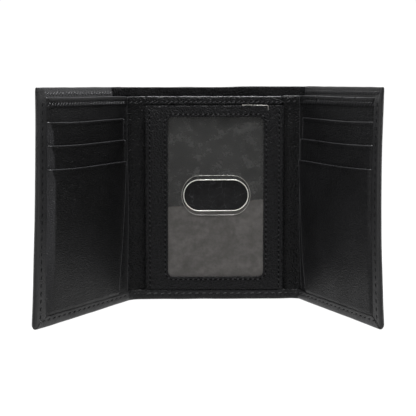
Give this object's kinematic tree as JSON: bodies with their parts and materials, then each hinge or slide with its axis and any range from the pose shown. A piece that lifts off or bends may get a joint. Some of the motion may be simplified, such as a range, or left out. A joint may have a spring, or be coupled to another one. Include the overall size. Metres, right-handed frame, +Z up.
{
  "type": "trifold wallet",
  "caption": "Black leather trifold wallet, standing open: a clear card window between two folding wings with card pockets and a bill compartment.",
  "frame": {"origin": "on the bottom face of the centre section, midway between its folds, under the front of the divider", "axes": "+X to the right across the centre section, -Y out of the inside face with the card window, +Z up along the folds"},
  "size_m": [0.156, 0.0742, 0.108],
  "materials": {
    "shell_leather": "black, fine grained, semi-gloss",
    "pocket_leather": "black, smooth, semi-gloss, with burnished edges",
    "grained_leather": "black, pebbled, semi-matt",
    "lining_cloth": "black woven nylon lining",
    "backing": "black sheet behind the window",
    "clear_film": "clear flexible vinyl, slightly clouded",
    "thread": "black polyester sewing thread"
  },
  "bodies": {
    "centre": {"shell_centre": "shell_leather", "shell_lining_centre": "lining_cloth", "divider_centre": "pocket_leather", "id_backing": "backing", "window_film": "clear_film", "id_frame": "grained_leather", "window_seam": "thread", "id_seam_left": "thread", "id_seam_right": "thread", "bottom_seam_centre": "thread", "top_seam_centre": "thread", "shell_fold_left": "shell_leather", "lining_fold_left": "lining_cloth", "inner_fold_left": "grained_leather", "shell_fold_right": "shell_leather", "lining_fold_right": "lining_cloth", "inner_fold_right": "grained_leather"},
    "left_wing": {"shell_left": "shell_leather", "shell_lining_left": "lining_cloth", "divider_left": "pocket_leather", "slip_panel_left": "pocket_leather", "card_pocket_upper_left": "pocket_leather", "card_pocket_middle_left": "pocket_leather", "card_pocket_front_left": "pocket_leather", "bottom_seam_left": "thread", "side_seam_left": "thread", "top_seam_left": "thread"},
    "right_wing": {"shell_right": "shell_leather", "shell_lining_right": "lining_cloth", "divider_right": "pocket_leather", "slip_panel_right": "pocket_leather", "card_pocket_upper_right": "pocket_leather", "card_pocket_middle_right": "pocket_leather", "card_pocket_front_right": "pocket_leather", "bottom_seam_right": "thread", "side_seam_right": "thread", "top_seam_right": "thread"}
  },
  "joints": [
    {"name": "left_fold", "type": "hinge", "parent": "centre", "child": "left_wing", "pos_m": [-0.04, -0.0031, 0.054], "axis": [0, 0, 1], "range_deg": [-60, 120], "deforming": ["shell_fold_left", "lining_fold_left", "inner_fold_left"]},
    {"name": "right_fold", "type": "hinge", "parent": "centre", "child": "right_wing", "pos_m": [0.0388, -0.00645, 0.054], "axis": [0, 0, -1], "range_deg": [-67.5, 112.5], "deforming": ["shell_fold_right", "lining_fold_right", "inner_fold_right"]}
  ]
}
